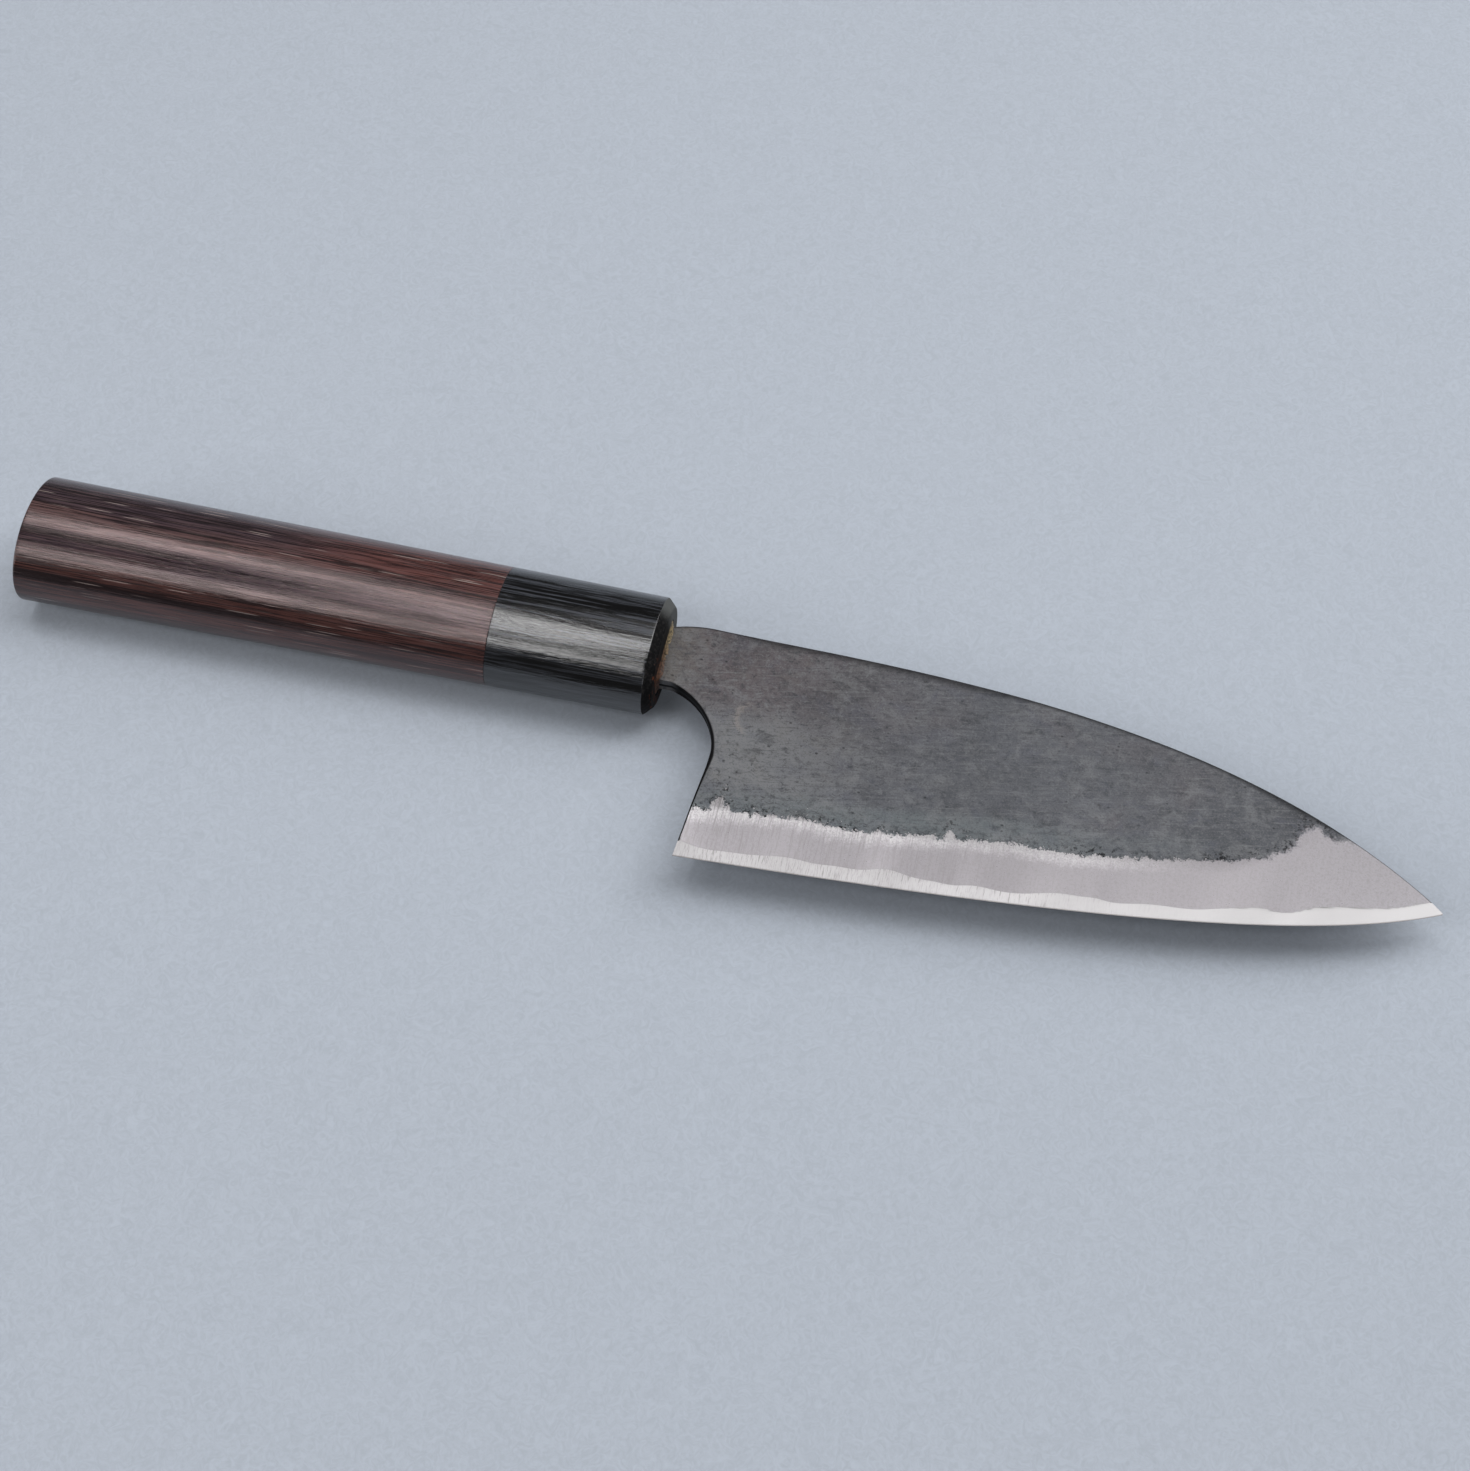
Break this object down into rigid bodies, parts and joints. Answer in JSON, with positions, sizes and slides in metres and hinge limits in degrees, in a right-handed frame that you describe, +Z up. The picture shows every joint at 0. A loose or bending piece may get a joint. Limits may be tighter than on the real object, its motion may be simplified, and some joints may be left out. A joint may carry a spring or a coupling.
{
  "type": "gyuto kitchen knife",
  "caption": "Kitchen knife with a laminated forged blade ground on both sides, a curved choil and an oval wooden handle with a black ferrule over a hidden tang.",
  "frame": {"origin": "middle of the surface that the knife lies on, under the centre of its bounding box", "axes": "+X along the handle from the butt to the tip, +Y from the cutting edge to the spine, +Z up out of the right face of the blade"},
  "size_m": [0.2706, 0.054, 0.0198],
  "materials": {
    "core_steel": "satin",
    "forged_iron": "matte",
    "rosewood": "satin",
    "black_wood": "gloss",
    "pale_wood": "matte",
    "clear_resin": "gloss",
    "amber_resin": "satin"
  },
  "bodies": {
    "root": {"core_steel": "core_steel", "right_cladding": "forged_iron", "left_cladding": "forged_iron", "handle_body": "rosewood", "ferrule": "black_wood", "ferrule_dowel": "pale_wood", "tang_bedding": "clear_resin", "mouth_seal": "amber_resin"}
  },
  "joints": []
}
